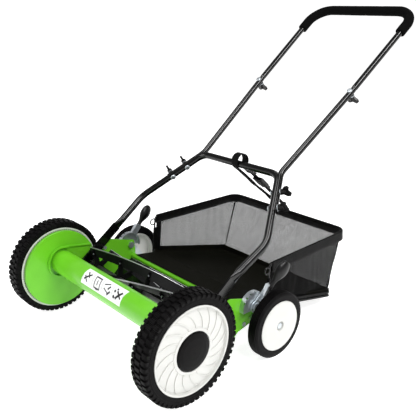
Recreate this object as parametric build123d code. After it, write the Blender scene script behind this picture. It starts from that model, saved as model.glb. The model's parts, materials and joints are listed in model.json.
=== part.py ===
from build123d import *
import math
import os

# Push reel mower. X is the width, the front faces -Y and Z is up.
# Everything is drawn about the ground point under the front axle, then moved back by axle_to_origin.
# All sizes are in millimetres. "Left" is +X, the left hand of someone pushing.

axle_to_origin = 426.395

# Front wheels
wheel_radius = 127.0
wheel_inner_x = 250.8
wheel_outer_x = 297.0
rim_radius = 110.5
hub_face_radius = 100.8
cap_radius = 43.5
axle_radius = 8.0
swirl_rib_count = 18

# Ring gear and pinion, involute, 20 degree pressure angle
gear_module = 2.0
ring_teeth = 104
pinion_teeth = 11
gear_backlash = 0.35
ring_gear_x = (252.0, 266.0)
pinion_x = (253.0, 265.0)

# Side plates
plate_inner_x = 240.0
plate_thickness = 2.5
disc_radius = 104.0
guard_depth = 7.5
lip_height = 8.0
lip_height_behind = 4.0

# Cross members
front_tube_radius = 31.5
front_tube_height = 148.0
tie_rod_radius = 8.5
tie_rod_y = 233.0
tie_rod_z = 96.0
guide_thickness = 1.4

# Reel and bed knife
reel_y = 92.0
reel_radius = 62.0
reel_half_length = 218.0
blade_count = 5
blade_depth = 25.0
blade_thickness = 3.0
blade_twist_per_mm = 0.197
first_blade_angle = 60.7
spider_hub_radius = 17.0
spider_half_thickness = 1.5
spider_stations = [-206.0, -103.0, 0.0, 103.0, 206.0]
shaft_radius = 6.0
knife_gap = 0.3

# Rear wheels and their height arms
rear_wheel_radius = 82.7
rear_wheel_y = 268.0
rear_inner_x = 272.0
rear_outer_x = 300.0
rear_hub_radius = 62.0
rear_rib_count = 6
rear_rib_pitch = 4.0
rear_groove_radius = 80.6
height_pivot_y = 226.0
height_pivot_z = 132.0
quadrant_radius = 36.0

# Handle, drawn flat and then tilted about its pivots
handle_pivot_y = 60.0
handle_pivot_z = 123.0
handle_pitch = 36.0
yoke_radius = 9.5
tube_radius = 8.5
tube_wall = 1.3
grip_radius = 14.5
leg_x = 232.25
leg_half_thickness = 2.75
leg_half_height = 13.0
flat_end = 143.0
round_start = 171.0
stop_along = 75.0
stop_radius = 5.0
yoke_bend = (242.0, 262.0, -7.0)
yoke_corner = (143.0, 453.0, 0.0)
mid_bend = (145.5, 459.0, 0.0)
handle_joint = (166.2, 780.0, 0.0)
grip_corner = (177.0, 1119.0, 0.0)
grip_start = 1021.0

# Catcher
rim_height = 205.0
rim_front = (227.0, 309.0)
rim_rear = (217.0, 637.0)
base_front = (300.0, 92.0)
base_rear = (585.0, 20.0)
wire_radius = 2.5
cloth_gap = 0.3
cloth_thickness = 1.2

# Derived positions
axle_z = wheel_radius
gear_offset = gear_module * (ring_teeth - pinion_teeth) / 2
reel_z = axle_z - math.sqrt(gear_offset**2 - reel_y**2)
plate_outer_x = plate_inner_x + plate_thickness

to_row = Pos(0, -axle_to_origin, 0)
tilt = Location((0, handle_pivot_y, handle_pivot_z), (handle_pitch, 0, 0))

nodes = {}


def cylinder_x(x0, x1, y, z, radius):
    # A solid cylinder along X between two stations.
    low, high = min(x0, x1), max(x0, x1)
    return Pos((low + high) / 2, y, z) * Rot(0, 90, 0) * Cylinder(radius, high - low)


def ring_x(x0, x1, y, z, outer, inner):
    return cylinder_x(x0, x1, y, z, outer) - cylinder_x(x0 - 1, x1 + 1, y, z, inner)


def block(x0, x1, y0, y1, z0, z1):
    return Pos((x0 + x1) / 2, (y0 + y1) / 2, (z0 + z1) / 2) * Box(abs(x1 - x0), abs(y1 - y0), abs(z1 - z0))


def slab_x(points, x0, x1):
    # A flat outline in the Y-Z plane, thickened along X.
    low, high = min(x0, x1), max(x0, x1)
    face = make_face(Polyline(*[(low, y, z) for y, z in points], close=True))
    return extrude(face, amount=high - low, dir=(1, 0, 0))


def turned(profile, y=0.0, z=0.0):
    # Revolves a closed outline of (x, radius) points about the X direction.
    face = make_face(Polyline(*[(x, radius, 0) for x, radius in profile], close=True))
    return Pos(0, y, z) * revolve(face, Axis.X, 360)


def hex_x(x0, x1, y, z, across):
    low, high = min(x0, x1), max(x0, x1)
    face = Plane((low, y, z), x_dir=(0, 1, 0), z_dir=(1, 0, 0)) * RegularPolygon(across / math.sqrt(3), 6)
    return extrude(face, amount=high - low, dir=(1, 0, 0))


def bent_path(points, radii):
    # A chain of straight runs with a tangent arc at each inner corner.
    pts = [Vector(*p) for p in points]
    edges = []
    start = pts[0]
    for i in range(1, len(pts) - 1):
        back = (pts[i - 1] - pts[i]).normalized()
        ahead = (pts[i + 1] - pts[i]).normalized()
        half = math.radians(back.get_angle(ahead)) / 2
        reach = radii[i - 1] / math.tan(half)
        middle = (back + ahead).normalized() * (radii[i - 1] / math.sin(half) - radii[i - 1])
        edges.append(Line(start, pts[i] + back * reach))
        edges.append(ThreePointArc(pts[i] + back * reach, pts[i] + middle, pts[i] + ahead * reach))
        start = pts[i] + ahead * reach
    edges.append(Line(start, pts[-1]))
    return Wire([e.edge() if hasattr(e, "edge") else e for e in edges])


def swept(path, radius):
    section = Plane(origin=path @ 0, z_dir=path % 0) * Circle(radius)
    return sweep(section, path=path)


def pipe(path, outer, inner):
    return swept(path, outer) - swept(path, inner)


def both_sides(shape):
    return [shape, mirror(shape, about=Plane.YZ)]


def save(name, shapes):
    # Keeps one named node, moved into the row's frame.
    pieces = shapes if isinstance(shapes, list) else [shapes]
    solids = [s for piece in pieces for s in (to_row * piece).solids()]
    nodes[name] = solids[0] if len(solids) == 1 else Compound(children=solids)


def save_pair(name, shape):
    left, right = both_sides(shape)
    save(name + "_left", left)
    save(name + "_right", right)


# Gears
def involute_half_angle(radius, teeth, thickness):
    # Half the angle a tooth fills at a radius, given its arc thickness at the pitch circle.
    pitch = gear_module * teeth / 2
    pressure = math.radians(20)
    base = pitch * math.cos(pressure)
    here = math.acos(min(1.0, base / max(radius, base)))
    return thickness / (2 * pitch) + (math.tan(pressure) - pressure) - (math.tan(here) - here)


def gear_outline(teeth, root, tip, thickness, phase):
    steps = 5
    points = []
    for tooth in range(teeth):
        middle = phase + 2 * math.pi * tooth / teeth
        rising = [root + (tip - root) * k / steps for k in range(steps + 1)]
        flank = [(r, involute_half_angle(r, teeth, thickness)) for r in rising]
        for r, half in flank:
            points.append((r * math.cos(middle - half), r * math.sin(middle - half)))
        for r, half in reversed(flank):
            points.append((r * math.cos(middle + half), r * math.sin(middle + half)))
    return points


mesh_direction = math.atan2(reel_z - axle_z, reel_y)
pitch_arc = math.pi * gear_module / 2

# Front wheels
tyre_profile = [
    (wheel_inner_x, rim_radius),
    (wheel_inner_x, 120.0),
    (wheel_inner_x + 0.8, 124.8),
    (wheel_inner_x + 3.0, wheel_radius),
    (wheel_outer_x - 4.0, wheel_radius),
    (wheel_outer_x - 1.2, 124.5),
    (wheel_outer_x, 116.0),
    (wheel_outer_x - 0.4, 106.0),
    (wheel_outer_x - 1.5, hub_face_radius),
    (287.0, hub_face_radius),
    (287.0, rim_radius),
]
save_pair("front_tyre", turned(tyre_profile, 0, axle_z))

hub_profile = [
    (246.5, axle_radius + 0.06),
    (246.5, 20.0),
    (283.0, 22.0),
    (284.0, 100.0),
    (283.0, 106.5),
    (251.0, 106.5),
    (251.0, rim_radius),
    (287.0, rim_radius),
    (287.0, hub_face_radius),
    (297.4, hub_face_radius),
    (297.9, 99.0),
    (297.4, 97.0),
    (291.4, 95.0),
    (295.4, 53.0),
    (297.6, 51.5),
    (297.6, 45.5),
    (288.0, 44.5),
    (288.0, axle_radius + 0.06),
]
hub = turned(hub_profile)

ring_space = gear_outline(ring_teeth, 102.2, 106.6, pitch_arc + gear_backlash, mesh_direction)
ring_gear = ring_x(*ring_gear_x, 0, 0, 107.0, 102.2)
hub += ring_gear - slab_x(ring_space, ring_gear_x[0] - 1.0, ring_gear_x[1] + 1.0)

# Curved ribs run from the ring round the cap out to the rim bead.
rib_envelope = turned([(289.5, 52.5), (297.2, 52.5), (293.2, 95.2), (289.5, 95.2)])
rib_side_a = []
rib_side_b = []
for step in range(10):
    radius = 50.0 + 47.0 * step / 9
    lean = 0.42 * (step / 9) ** 1.4
    half = 1.2 / radius
    rib_side_a.append((radius * math.cos(lean - half), radius * math.sin(lean - half)))
    rib_side_b.append((radius * math.cos(lean + half), radius * math.sin(lean + half)))
rib = slab_x(rib_side_a + rib_side_b[::-1], 289.0, 299.0) & rib_envelope
for number in range(swirl_rib_count):
    hub += Rot(360.0 * number / swirl_rib_count, 0, 0) * rib
save_pair("front_hub", Pos(0, 0, axle_z) * hub)

cap_profile = [
    (293.0, axle_radius + 9.0),
    (293.0, cap_radius),
    (298.0, cap_radius),
    (300.2, 41.0),
    (302.0, 32.0),
    (303.0, 16.0),
    (303.2, 0.0),
    (301.0, 0.0),
    (301.0, axle_radius + 9.0),
]
cap = turned(cap_profile, 0, axle_z)
cap += cylinder_x(288.0, 293.0, 0, axle_z, 44.0)
cap -= cylinder_x(287.0, 301.0, 0, axle_z, 30.0)
save_pair("front_cap", cap)

# Side plates
bed_pivot_y = 150.0
bed_pivot_z = 62.0
small_bolt_y = 204.0
small_bolt_z = 88.0
plate_outline = [
    (60.0, 150.0),
    (96.0, 150.0),
    (160.0, 168.0),
    (212.0, 151.0),
    (238.0, 144.0),
    (243.0, 108.0),
    (240.0, 88.0),
    (226.0, 81.0),
    (186.0, 72.0),
    (160.0, 50.0),
    (125.0, 42.0),
    (70.0, 60.0),
]
plate = cylinder_x(plate_inner_x, plate_outer_x, 0, axle_z, disc_radius)
plate += slab_x(plate_outline, plate_inner_x, plate_outer_x)
plate += ring_x(plate_outer_x - 0.5, plate_outer_x + guard_depth, 0, axle_z, disc_radius, disc_radius - 2.5)

# The raised lip loops round the front tube and runs back along the top of the reel.
# Behind the tube it drops to a lower height, clear of the handle leg's swing.
lip_x = plate_inner_x - lip_height
lip_low_x = plate_inner_x - lip_height_behind
lip_gap = [(-4.0, 100.0), (-4.0, 148.0), (10.0, 200.0), (60.0, 200.0), (60.0, 100.0)]
lip_run = [(6.0, 189.6), (6.0, 186.4), (94.0, 171.0), (94.0, 174.2)]
lip_front = [(0.0, 160.0), (22.0, 160.0), (22.0, 200.0), (0.0, 200.0)]
lip = ring_x(lip_x, plate_inner_x, 0, front_tube_height, 42.0, 39.0) - slab_x(lip_gap, 230.0, 241.0)
lip += slab_x(lip_run, lip_low_x, plate_inner_x)
lip += slab_x(lip_run, lip_x, plate_inner_x) & slab_x(lip_front, lip_x, plate_inner_x)
plate += lip & cylinder_x(230.0, 241.0, 0, axle_z, disc_radius)

plate_holes = [
    (0.0, axle_z, axle_radius),
    (reel_y, reel_z, 8.0),
    (handle_pivot_y, handle_pivot_z, 6.0),
    (bed_pivot_y, bed_pivot_z, 5.0),
    (tie_rod_y, tie_rod_z, 4.0),
    (height_pivot_y, height_pivot_z, 6.0),
    (small_bolt_y, small_bolt_z, 3.0),
]
for y, z, radius in plate_holes:
    plate -= cylinder_x(230.0, 260.0, y, z, radius)
save_pair("side_plate", plate)

front_tube_bore = front_tube_radius - 1.6
front_tube = ring_x(-plate_inner_x, plate_inner_x, 0, front_tube_height, front_tube_radius, front_tube_bore)
save("front_tube", front_tube)
tie_rod = ring_x(-plate_inner_x, plate_inner_x, tie_rod_y, tie_rod_z, tie_rod_radius, 4.0)
save("rear_tie_rod", tie_rod)

# A bent sheet behind the bed bar lifts the clippings towards the catcher.
# Its front edge is shorter than the rest, clear of the bed bar's lugs.
guide_line = [(164.0, 57.0), (188.0, 77.0), (209.0, 80.4), (227.0, 88.0)]
guide_front = [(154.0, 49.0), (164.0, 57.0)]
guide_front_half_length = 229.0


def bent_sheet(line, half_length, thickness):
    # A bent strip of constant upright thickness, running the width between the plates.
    outline = line + [(y, z + thickness) for y, z in reversed(line)]
    return slab_x(outline, -half_length, half_length)


guide = bent_sheet(guide_line, plate_inner_x, guide_thickness)
guide += bent_sheet(guide_front, guide_front_half_length, guide_thickness)
save("clipping_guide", guide)

sticker = ring_x(-88.0, 78.0, 0, front_tube_height, front_tube_radius + 0.25, front_tube_radius)
sticker &= slab_x([(0.0, 148.0), (-60.0, 156.0), (-60.0, 220.0), (-4.0, 220.0)], -90.0, 80.0)
save("tube_label", sticker)

# Fixed fittings
axle = cylinder_x(plate_inner_x - 4.0, 292.0, 0, axle_z, axle_radius)
axle += ring_x(plate_outer_x, 246.0, 0, axle_z, 15.0, axle_radius - 1.0)
axle += cylinder_x(288.3, 290.3, 0, axle_z, 14.0)
save("front_axles", both_sides(axle))

bearing = ring_x(plate_inner_x, plate_outer_x, reel_y, reel_z, 8.0, shaft_radius + 0.05)
bearing += ring_x(232.0, plate_inner_x, reel_y, reel_z, 11.5, shaft_radius + 0.05)
save("reel_bearings", both_sides(bearing))

pivot_bolt = cylinder_x(224.0, plate_outer_x, handle_pivot_y, handle_pivot_z, 6.0)
pivot_bolt += cylinder_x(plate_outer_x, plate_outer_x + 3.5, handle_pivot_y, handle_pivot_z, 10.0)
pivot_bolt += ring_x(235.1, plate_inner_x, handle_pivot_y, handle_pivot_z, 11.0, 5.0)
pivot_bolt += hex_x(223.0, 229.3, handle_pivot_y, handle_pivot_z, 17.0)
save("handle_pivot_bolts", both_sides(pivot_bolt))

# Each stop pin sits just under the resting leg.
pitch_cos = math.cos(math.radians(handle_pitch))
pitch_sin = math.sin(math.radians(handle_pitch))
stop_below = leg_half_height + stop_radius + 0.05
stop_y = handle_pivot_y + stop_along * pitch_cos + stop_below * pitch_sin
stop_z = handle_pivot_z + stop_along * pitch_sin - stop_below * pitch_cos
save("handle_stops", both_sides(cylinder_x(227.0, plate_inner_x, stop_y, stop_z, stop_radius)))

rod_bolt = cylinder_x(215.0, plate_outer_x, tie_rod_y, tie_rod_z, 4.0)
rod_bolt += hex_x(plate_outer_x, 247.0, tie_rod_y, tie_rod_z, 13.0)
small_bolt = cylinder_x(plate_inner_x - 5.0, plate_outer_x, small_bolt_y, small_bolt_z, 3.0)
small_bolt += hex_x(plate_outer_x, 246.5, small_bolt_y, small_bolt_z, 10.0)
small_bolt += hex_x(plate_inner_x - 4.5, plate_inner_x, small_bolt_y, small_bolt_z, 10.0)
save("plate_bolts", both_sides(rod_bolt) + both_sides(small_bolt))

# Reel
def reel_point(radius, angle_deg):
    angle = math.radians(angle_deg)
    return (reel_y + radius * math.cos(angle), reel_z + radius * math.sin(angle))


def blade_section(x, angle_deg):
    # A slim rectangle standing off the reel axis, leaning a little forward at its edge.
    inner = reel_radius - blade_depth
    half_inner = math.degrees(blade_thickness / 2 / inner)
    half_outer = math.degrees(blade_thickness / 2 / reel_radius)
    corners = [
        reel_point(inner, angle_deg - half_inner),
        reel_point(reel_radius, angle_deg - half_outer),
        reel_point(reel_radius, angle_deg + half_outer),
        reel_point(inner, angle_deg + half_inner),
    ]
    return make_face(Polyline(*[(x, y, z) for y, z in corners], close=True))


def blade_angle(number, x):
    return first_blade_angle + 360.0 * number / blade_count - blade_twist_per_mm * x


blade_stations = [-reel_half_length + 2 * reel_half_length * k / 8 for k in range(9)]
blades = []
for number in range(blade_count):
    blades.append(loft([blade_section(x, blade_angle(number, x)) for x in blade_stations]))
save("reel_blades", blades)

spiders = []
rivets = []
for station in spider_stations:
    near_face = station - spider_half_thickness
    far_face = station + spider_half_thickness
    spider = cylinder_x(near_face, far_face, reel_y, reel_z, spider_hub_radius)
    for number in range(blade_count):
        angle = blade_angle(number, station)
        arm = block(near_face, far_face, 10.0, 55.0, -8.0, 8.0)
        spider += Pos(0, reel_y, reel_z) * Rot(angle, 0, 0) * arm
        rivet_y, rivet_z = reel_point(46.0, angle + 6.5)
        rivets.append(cylinder_x(far_face, far_face + 1.8, rivet_y, rivet_z, 2.2))
    spider -= cylinder_x(station - 3, station + 3, reel_y, reel_z, shaft_radius)
    for blade in blades:
        spider -= blade
    spiders += [max(spider.solids(), key=lambda s: s.volume)]
save("reel_spiders", spiders)
save("reel_rivets", rivets)

shaft = cylinder_x(-268.0, 268.0, reel_y, reel_z, shaft_radius)
for side in (-1, 1):
    shaft += ring_x(side * 222.0, side * 231.8, reel_y, reel_z, 9.0, shaft_radius - 1.0)
save("reel_shaft", shaft)

pinion_tip = gear_module * pinion_teeth / 2 + 1.9
pinion_outline = gear_outline(pinion_teeth, 8.6, pinion_tip, pitch_arc - gear_backlash, mesh_direction)
pinion = slab_x([(reel_y + y, reel_z + z) for y, z in pinion_outline], *pinion_x)
pinion -= cylinder_x(250.0, 268.0, reel_y, reel_z, shaft_radius)
save("reel_pinions", both_sides(pinion))

# Bed bar and knife
knife_angle = -75.0
knife_y, knife_z = reel_point(reel_radius + knife_gap, knife_angle)
knife_frame = Location((0, knife_y, knife_z), (-8, 0, 0))
save("bed_knife", knife_frame * block(-226.0, 226.0, 0.0, 30.0, -3.0, 0.0))

bar = knife_frame * block(-237.5, 237.5, 8.0, 42.0, -14.0, -3.0)
bar -= knife_frame * Pos(0, 8.0, -14.0) * Rot(45, 0, 0) * Box(500, 8, 8)
lug_outline = [(134.0, 40.0), (156.0, 40.0), (160.0, 62.0), (150.0, 72.0), (140.0, 62.0)]
for side in (-1, 1):
    bar += slab_x(lug_outline, side * 231.5, side * 237.5)
    bar -= cylinder_x(side * 230.0, side * 239.0, bed_pivot_y, bed_pivot_z, 5.05)
save("bed_bar", bar)

screws = []
for x in (-200.0, -100.0, 0.0, 100.0, 200.0):
    screws.append(knife_frame * Pos(x, 18.0, 1.0) * Cylinder(5.0, 2.0))
save("knife_screws", screws)

bed_bolt = cylinder_x(230.5, plate_outer_x, bed_pivot_y, bed_pivot_z, 5.0)
bed_bolt += hex_x(plate_outer_x, 246.5, bed_pivot_y, bed_pivot_z, 13.0)
bed_bolt += cylinder_x(237.6, plate_inner_x, bed_pivot_y, bed_pivot_z, 8.0)
save("bed_pivot_bolts", both_sides(bed_bolt))

# Height adjusters and rear wheels
cup = ring_x(plate_outer_x, 253.0, height_pivot_y, height_pivot_z, quadrant_radius, quadrant_radius - 2.2)
cup += cylinder_x(253.0, 255.5, height_pivot_y, height_pivot_z, quadrant_radius)
cup -= block(230.0, 260.0, 150.0, 300.0, 60.0, height_pivot_z - 9.0)
for notch in range(7):
    angle = 20.0 + 22.0 * notch
    slot = Pos(0, quadrant_radius, 0) * Box(8, 9, 4)
    cup -= Pos(254.5, height_pivot_y, height_pivot_z) * Rot(angle, 0, 0) * slot
cup -= cylinder_x(240.0, 260.0, height_pivot_y, height_pivot_z, 6.0)
save("height_quadrants", both_sides(cup))

height_bolt = cylinder_x(plate_inner_x - 5.0, 262.0, height_pivot_y, height_pivot_z, 6.0)
height_bolt += ring_x(255.5, 256.9, height_pivot_y, height_pivot_z, 11.0, 5.0)
height_bolt += hex_x(260.6, 266.0, height_pivot_y, height_pivot_z, 19.0)
height_bolt += hex_x(plate_inner_x - 6.0, plate_inner_x, height_pivot_y, height_pivot_z, 17.0)
save("height_pivot_bolts", both_sides(height_bolt))


def link_plate(x0, x1, ends):
    # Flat bar between two round ends given as (y, z, radius).
    (ya, za, ra), (yb, zb, rb) = ends
    run = math.atan2(zb - za, yb - ya)
    shape = cylinder_x(x0, x1, ya, za, ra) + cylinder_x(x0, x1, yb, zb, rb)
    across = (-math.sin(run), math.cos(run))
    outline = [
        (ya + ra * across[0], za + ra * across[1]),
        (yb + rb * across[0], zb + rb * across[1]),
        (yb - rb * across[0], zb - rb * across[1]),
        (ya - ra * across[0], za - ra * across[1]),
    ]
    return shape + slab_x(outline, x0, x1)


wheel_link = [(height_pivot_y, height_pivot_z, 14.0), (rear_wheel_y, rear_wheel_radius, 11.0)]
lever_link = [(height_pivot_y + 4.0, height_pivot_z + 2.0, 12.0), (269.0, 171.0, 8.0)]
arm = link_plate(257.0, 260.5, wheel_link) + link_plate(257.0, 260.5, lever_link)
lever_edge = [(236.0, 145.0), (238.2, 143.4), (264.8, 179.0), (262.6, 180.6)]
arm += slab_x(lever_edge, 257.0, 268.0) - cylinder_x(250.0, 270.0, height_pivot_y, height_pivot_z, 13.9)
arm -= cylinder_x(250.0, 270.0, height_pivot_y, height_pivot_z, 6.05)
arm -= cylinder_x(250.0, 270.0, rear_wheel_y, rear_wheel_radius, 6.0)
grip_frame = Pos(264.0, 272.0, 172.0) * Rot(Z=-9) * Rot(X=45)
grip_stations = [
    (-6.0, 5.0, 6.0),
    (8.0, 5.5, 6.5),
    (18.0, 6.0, 7.5),
    (32.0, 9.5, 14.0),
    (48.0, 11.0, 17.5),
    (62.0, 8.5, 14.0),
    (70.0, 4.0, 6.5),
]
grip_sections = []
for along, half_x, half_z in grip_stations:
    station_plane = Plane(origin=(0, along, 0), x_dir=(1, 0, 0), z_dir=(0, 1, 0))
    grip_sections.append(station_plane * Ellipse(half_x, half_z))
lever_grip = grip_frame * loft(grip_sections)
lever_grip -= arm
save_pair("height_arm", arm)
save_pair("height_grip", max(lever_grip.solids(), key=lambda s: s.volume))

rear_bolt = cylinder_x(257.0, 297.0, rear_wheel_y, rear_wheel_radius, 6.0)
rear_bolt += ring_x(260.5, 271.7, rear_wheel_y, rear_wheel_radius, 10.0, 5.0)
rear_bolt += hex_x(297.0, 301.0, rear_wheel_y, rear_wheel_radius, 13.0)
save_pair("rear_axle_bolt", rear_bolt)

rear_tyre_profile = [
    (rear_inner_x, rear_hub_radius),
    (rear_inner_x, 75.0),
    (rear_inner_x + 1.2, 79.0),
]
# Ribs run round the tread; the outermost two are a little lower than the rest.
for rib in range(rear_rib_count):
    start = rear_inner_x + 2.9 + rear_rib_pitch * rib
    edge_rib = rib in (0, rear_rib_count - 1)
    rib_top = rear_wheel_radius - 0.4 if edge_rib else rear_wheel_radius
    rear_tyre_profile += [(start, rear_groove_radius), (start + 0.3, rib_top)]
    rear_tyre_profile += [(start + 2.0, rib_top), (start + 2.3, rear_groove_radius)]
rear_tyre_profile += [
    (rear_outer_x - 1.2, 79.0),
    (rear_outer_x, 75.0),
    (rear_outer_x, rear_hub_radius),
]
save_pair("rear_tyre", turned(rear_tyre_profile, rear_wheel_y, rear_wheel_radius))

rear_hub_profile = [
    (rear_inner_x, 6.05),
    (rear_inner_x, 16.0),
    (288.0, 18.0),
    (288.0, 56.0),
    (rear_inner_x + 1.0, 57.5),
    (rear_inner_x + 1.0, rear_hub_radius),
    (rear_outer_x + 1.0, rear_hub_radius),
    (302.2, rear_hub_radius - 1.0),
    (303.6, 50.0),
    (304.0, 20.0),
    (303.4, 12.0),
    (296.9, 10.5),
    (296.9, 6.05),
]
save_pair("rear_hub", turned(rear_hub_profile, rear_wheel_y, rear_wheel_radius))

# Handle
leg_points = [(leg_x, round_start - 4.0, -1.2), yoke_bend, yoke_corner]
yoke_points = leg_points + [(-x, s, z) for x, s, z in reversed(leg_points)]
yoke_path = bent_path(yoke_points, [70.0, 40.0, 40.0, 70.0])
yoke_solid = swept(yoke_path, yoke_radius)
yoke = yoke_solid - swept(yoke_path, yoke_radius - 1.5)
yoke_clearance = swept(yoke_path, yoke_radius + 0.02)

# Each leg is flattened at its foot, with a transition up to the round tube.
leg_low = leg_x - leg_half_thickness
leg_high = leg_x + leg_half_thickness
for side in (-1, 1):
    flat = block(side * leg_low, side * leg_high, 0.0, flat_end, -leg_half_height, leg_half_height)
    flat += Pos(side * leg_x, 0, 0) * Rot(0, 90, 0) * Cylinder(leg_half_height, 2 * leg_half_thickness)
    flat_plane = Plane(origin=(side * leg_x, flat_end, 0), x_dir=(1, 0, 0), z_dir=(0, 1, 0))
    round_plane = Plane(origin=(side * leg_x, round_start, -1.2), x_dir=(1, 0, 0), z_dir=(0, 1, 0))
    flat_section = flat_plane * Ellipse(leg_half_thickness, leg_half_height - 0.01)
    flat += loft([flat_section, round_plane * Circle(yoke_radius)])
    flat -= Pos(side * leg_x, 0, 0) * Rot(0, 90, 0) * Cylinder(6.05, 20.0)
    yoke += flat

# Mid tubes hug the yoke legs at their lower ends and carry on up to the joint.
slant = (Vector(*yoke_corner) - Vector(*yoke_bend)).normalized()
outward = Vector(slant.Y, -slant.X, 0).normalized()


def on_slant(s, offset=0.0):
    # A point beside the sloping part of the left leg, offset outboard.
    along = (s - yoke_bend[1]) / slant.Y
    return Vector(*yoke_bend) + slant * along + outward * offset


low_point = on_slant(346.0, 5.0)
joint_vector = (Vector(*handle_joint) - Vector(*mid_bend)).normalized()
mid_path = bent_path([tuple(low_point), mid_bend, handle_joint], [45.0])
mid = swept(mid_path, tube_radius) - yoke_clearance
hollow_start = Vector(*mid_bend) + joint_vector * 30.0
hollow_end = Vector(*handle_joint) + joint_vector * 2.0
mid -= swept(Wire([Line(hollow_start, hollow_end).edge()]), tube_radius - tube_wall)

# The upper tube is swaged down where it enters the mid tubes.
swage_start = Vector(*handle_joint) - joint_vector * 44.0
swage_end = Vector(*handle_joint) + joint_vector * 1.0
cone_end = Vector(*handle_joint) + joint_vector * 9.0
upper_points = [tuple(cone_end), grip_corner]
upper_points += [(-x, s, z) for x, s, z in reversed(upper_points)]
upper_path = bent_path(upper_points, [60.0, 60.0])
upper = pipe(upper_path, tube_radius, tube_radius - tube_wall)
swage_radius = tube_radius - tube_wall - 0.05
swage = pipe(Wire([Line(swage_start, swage_end).edge()]), swage_radius, swage_radius - 1.2)
swage_section = Plane(origin=swage_end, z_dir=joint_vector) * Circle(swage_radius)
cone_section = Plane(origin=cone_end, z_dir=(upper_path % 0)) * Circle(tube_radius)
cone = loft([swage_section, cone_section])
cone -= swept(Wire([Line(swage_start, cone_end + joint_vector * 3.0).edge()]), swage_radius - 1.2)
for piece in both_sides(swage + cone):
    upper += piece

# Bolts: two through each leg overlap, one through each upper joint.
bolt_stations = [356.0, 400.0]
bolt_radius = 3.0


def leg_bolt_frame(s):
    # Local Z points outboard, square to the leg and in the plane of the handle.
    return Plane(origin=on_slant(s), x_dir=(0, 0, 1), z_dir=outward).location


joint_spot = Vector(*handle_joint) - joint_vector * 12.0
joint_frame = Plane(origin=joint_spot, x_dir=(1, 0, 0), z_dir=(0, 0, -1)).location

bolts = []
knobs = []
knob_hub = Pos(0, 0, 7.0) * Cylinder(7.5, 14.0)
knob_wing_outline = [
    (-6.0, 3.0),
    (-15.5, 12.0),
    (-16.5, 20.0),
    (-11.0, 24.0),
    (0.0, 19.0),
    (11.0, 24.0),
    (16.5, 20.0),
    (15.5, 12.0),
    (6.0, 3.0),
]
knob_wing_face = make_face(Polyline(*[(x, 0, z) for x, z in knob_wing_outline], close=True))
knob_wing = extrude(knob_wing_face, amount=3.0, both=True)
knob_shape = knob_hub + knob_wing - Pos(0, 0, 5.5) * Cylinder(bolt_radius + 0.05, 12.0)
carriage_head = Pos(0, 0, -1.6) * Cylinder(7.5, 3.2)
carriage_head = fillet(carriage_head.faces().sort_by(Axis.Z)[0].edges(), 2.6)

bolt_sites = [
    ("low", leg_bolt_frame(bolt_stations[0]), -yoke_radius, 13.5),
    ("high", leg_bolt_frame(bolt_stations[1]), -yoke_radius, 13.5),
    ("top", joint_frame, -tube_radius, tube_radius),
]
for label, frame, head_at, knob_at in bolt_sites:
    shank_length = knob_at - head_at + 10.0
    hole = frame * Pos(0, 0, head_at + shank_length / 2 - 2.0) * Cylinder(bolt_radius, shank_length + 6.0)
    for side_hole in both_sides(hole):
        yoke -= side_hole
        upper -= side_hole
    mid -= hole
    bolt = Pos(0, 0, head_at + shank_length / 2) * Cylinder(bolt_radius, shank_length)
    bolt += Pos(0, 0, head_at) * carriage_head
    bolt += Pos(0, 0, knob_at + 0.8) * (Cylinder(8.0, 1.6) - Cylinder(bolt_radius - 1.0, 3.0))
    bolts += both_sides(frame * bolt)
    knobs.append((label, frame * Pos(0, 0, knob_at + 1.65) * knob_shape))

save("handle_yoke", tilt * yoke)
save_pair("handle_mid", tilt * mid)
save("handle_upper", tilt * upper)
save("handle_bolts", [tilt * bolt for bolt in bolts])
for label, knob in knobs:
    save_pair("wing_knob_" + label, tilt * knob)

grip_lean = (grip_corner[0] - handle_joint[0]) / (grip_corner[1] - handle_joint[1])
foam_from = (grip_corner[0] - grip_lean * (grip_corner[1] - grip_start), grip_start, 0)
foam_points = [foam_from, grip_corner]
foam_points += [(-x, s, z) for x, s, z in reversed(foam_points)]
foam_path = bent_path(foam_points, [60.0, 60.0])
save("handle_grip", tilt * pipe(foam_path, grip_radius, tube_radius + 0.3))

# Strap
bar_y = handle_pivot_y + yoke_corner[1] * pitch_cos
bar_z = handle_pivot_z + yoke_corner[1] * pitch_sin
strap_x = -4.0
strap_half_width = 12.5
hook_y = rim_rear[1] - 10.5
hook_z = 220.0
strand_drop = Vector(0, hook_y - bar_y, hook_z - bar_z).normalized()
strand_side = Vector(0, -strand_drop.Z, strand_drop.Y)
hook_centre = Vector(strap_x, hook_y, hook_z)
bar_centre = Vector(strap_x, bar_y, bar_z)
front_low = hook_centre - strand_side * 6.0
front_high = bar_centre - strand_side * 10.9
rear_low = hook_centre + strand_side * 6.0
rear_high = bar_centre + Vector(0, 25.0, -8.0)
loop_edges = [
    Line(front_low, front_high),
    ThreePointArc(front_high, bar_centre + Vector(0, 3.0, 27.0), rear_high),
    Line(rear_high, rear_low),
    ThreePointArc(rear_low, hook_centre + strand_drop * 6.0, front_low),
]
loop_face = make_face([edge.edge() for edge in loop_edges])
band_face = offset(loop_face, 0.8, kind=Kind.ARC) - offset(loop_face, -0.8, kind=Kind.ARC)
save("strap", extrude(band_face, amount=strap_half_width, dir=(1, 0, 0), both=True))

rear_run = (rear_low - rear_high).normalized()
buckle_turn = math.degrees(math.atan2(rear_run.Z, rear_run.Y))


def along_rear_strand(distance):
    spot = rear_high + rear_run * distance
    return Pos(*spot) * Rot(buckle_turn, 0, 0)


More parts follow.
